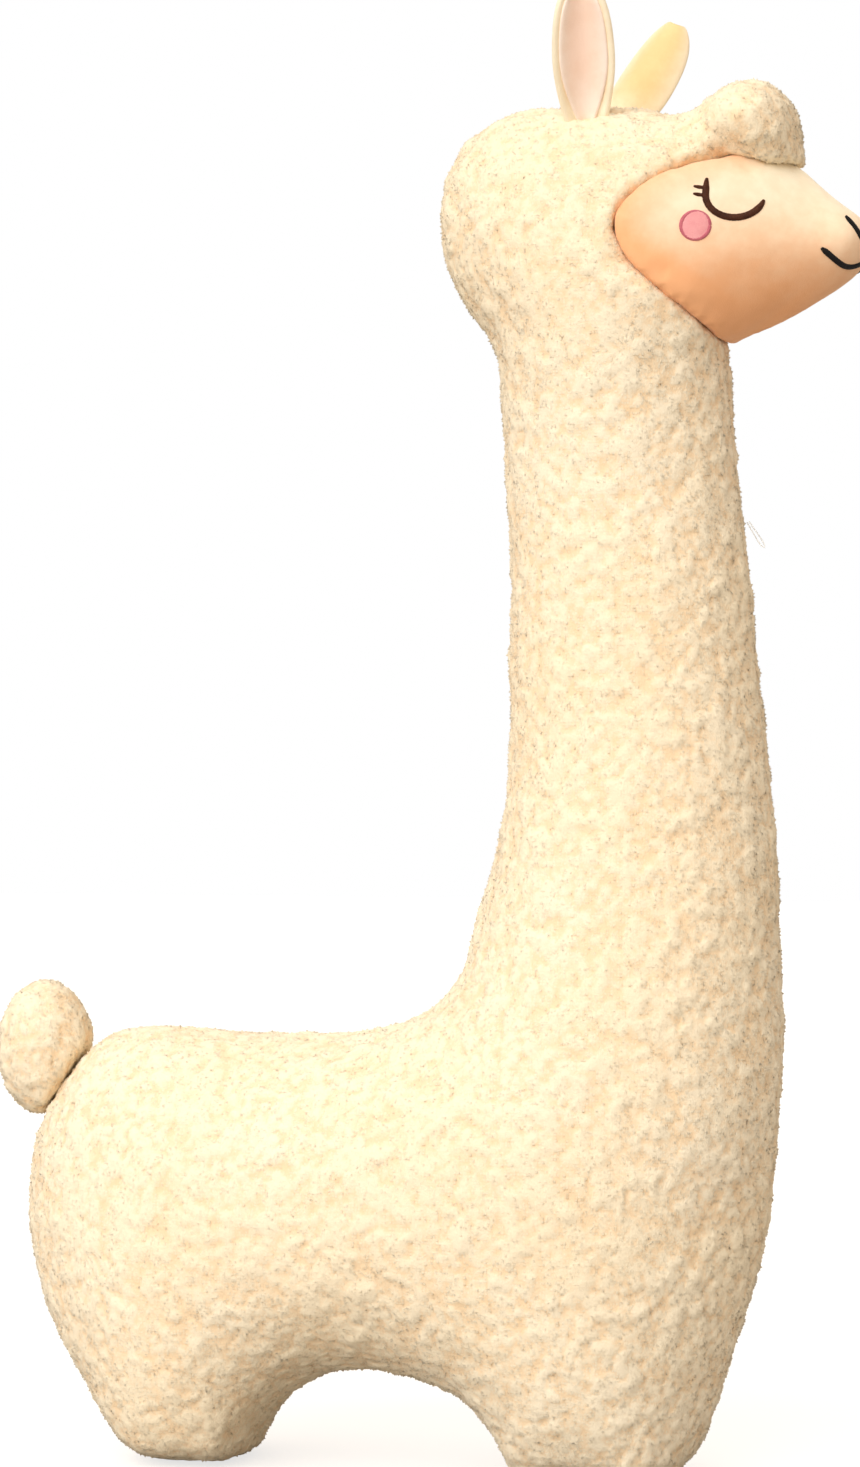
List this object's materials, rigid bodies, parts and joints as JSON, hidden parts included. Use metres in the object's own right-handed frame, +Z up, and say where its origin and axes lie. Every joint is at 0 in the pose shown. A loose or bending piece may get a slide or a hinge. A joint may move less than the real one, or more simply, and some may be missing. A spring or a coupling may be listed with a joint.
{
  "type": "stuffed toy alpaca",
  "caption": "Standing stuffed alpaca in curly cream fleece with a long neck, short-pile face, forelock, upright ears and egg-shaped tail.",
  "frame": {"origin": "on the floor under the middle of the bounding box", "axes": "+Z up, +X the way the alpaca faces, +Y its left side"},
  "size_m": [0.4572, 0.1684, 0.7391],
  "materials": {
    "cream_fleece": "curly sherpa fleece, matt",
    "peach_velour": "short-pile velour, soft sheen",
    "pink_lining": "short-pile velour, soft sheen",
    "pink_thread": "filled stitching",
    "brown_thread": "satin stitch",
    "black_thread": "satin stitch",
    "clear_nylon": "thin clear thread"
  },
  "bodies": {
    "root": {"body": "cream_fleece", "forelock": "cream_fleece", "tail": "cream_fleece", "face": "peach_velour", "right_ear": "peach_velour", "left_ear": "peach_velour", "right_ear_lining": "pink_lining", "left_ear_lining": "pink_lining", "right_eye": "brown_thread", "left_eye": "brown_thread", "right_cheek": "pink_thread", "left_cheek": "pink_thread", "nose": "black_thread", "mouth": "black_thread", "tag_loop": "clear_nylon"}
  },
  "joints": []
}
